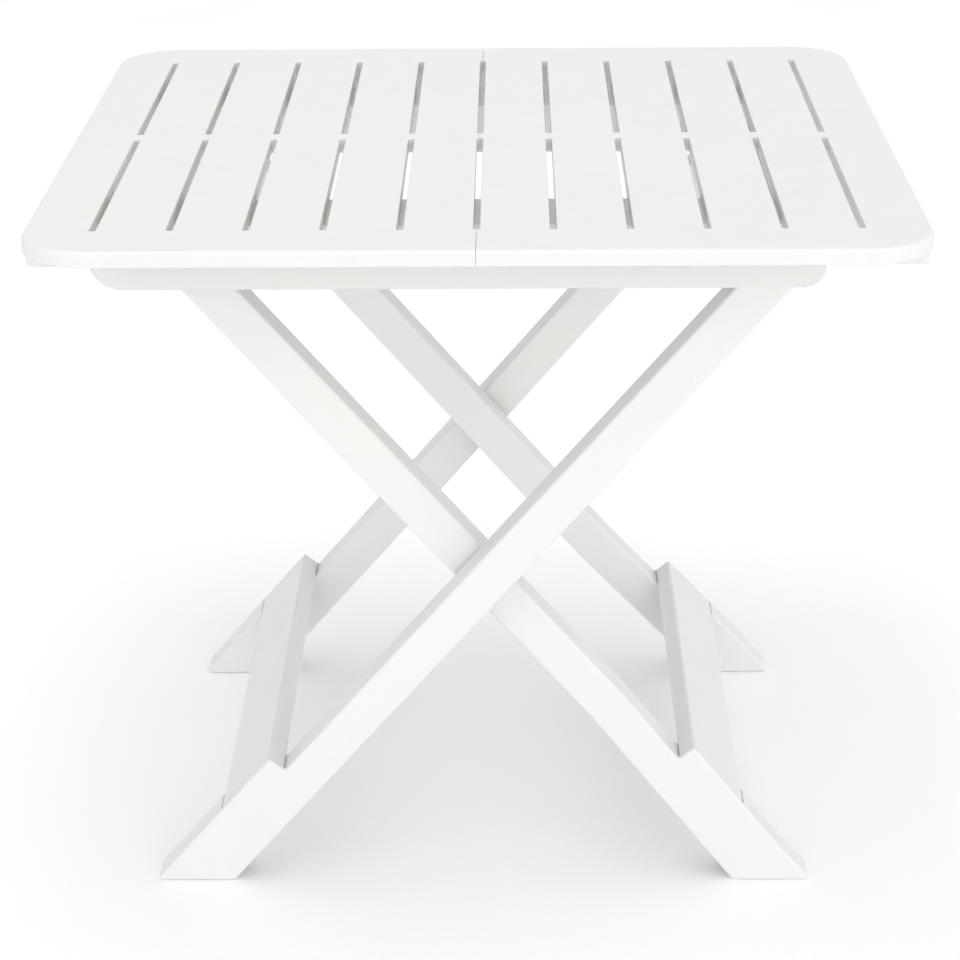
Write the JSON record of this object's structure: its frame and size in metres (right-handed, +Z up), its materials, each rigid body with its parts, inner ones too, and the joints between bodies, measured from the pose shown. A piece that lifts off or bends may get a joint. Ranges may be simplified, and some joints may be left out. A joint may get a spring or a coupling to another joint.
{
  "type": "folding picnic table",
  "caption": "Low white moulded-plastic folding table with a slatted two-part top on rails and two crossing leg frames that fold flat under it like scissors.",
  "frame": {"origin": "on the floor, under the middle of the open table's top", "axes": "+X along the long side, towards the end where the outer legs are hinged; +Y from the front to the back; +Z up"},
  "size_m": [0.79, 0.72, 0.7],
  "materials": {
    "top_plastic": "white polypropylene, fine moulded grain, satin",
    "frame_plastic": "white polypropylene, smooth satin moulding",
    "pin_plastic": "off-white acetal, smooth",
    "rod_steel": "zinc-plated tube",
    "screw_steel": "zinc-plated"
  },
  "bodies": {
    "top": {"top_panel_left": "top_plastic", "top_panel_right": "top_plastic", "seam_pegs": "pin_plastic", "panel_screws": "screw_steel", "rail_front": "frame_plastic", "rail_back": "frame_plastic"},
    "outer_frame": {"outer_leg_front": "frame_plastic", "outer_leg_back": "frame_plastic", "outer_crossbar": "frame_plastic", "outer_crossbar_screws": "screw_steel", "hinge_rod": "rod_steel", "hinge_rod_plugs": "pin_plastic", "hinge_washers": "pin_plastic", "pivot_pin_front": "pin_plastic", "pivot_pin_back": "pin_plastic", "pivot_washers": "pin_plastic"},
    "inner_frame": {"inner_leg_front": "frame_plastic", "inner_leg_back": "frame_plastic", "inner_crossbar": "frame_plastic", "inner_crossbar_screws": "screw_steel", "slide_rod": "rod_steel", "slide_rod_plugs": "pin_plastic", "slide_rollers": "pin_plastic"}
  },
  "joints": [
    {"name": "outer_fold", "type": "hinge", "parent": "top", "child": "outer_frame", "pos_m": [0.28185, 0, 0.652], "axis": [0, 1, 0], "range_deg": [0, 43], "stiffness_Nm_per_rad": 30, "springref_deg": -85.94},
    {"name": "inner_fold", "type": "hinge", "parent": "outer_frame", "child": "inner_frame", "pos_m": [0, 0, 0.322], "axis": [0, 1, 0], "range_deg": [-86, 0]}
  ],
  "couplings": [
    {"joint": "inner_fold", "follows": "outer_fold", "ratio": -2}
  ]
}
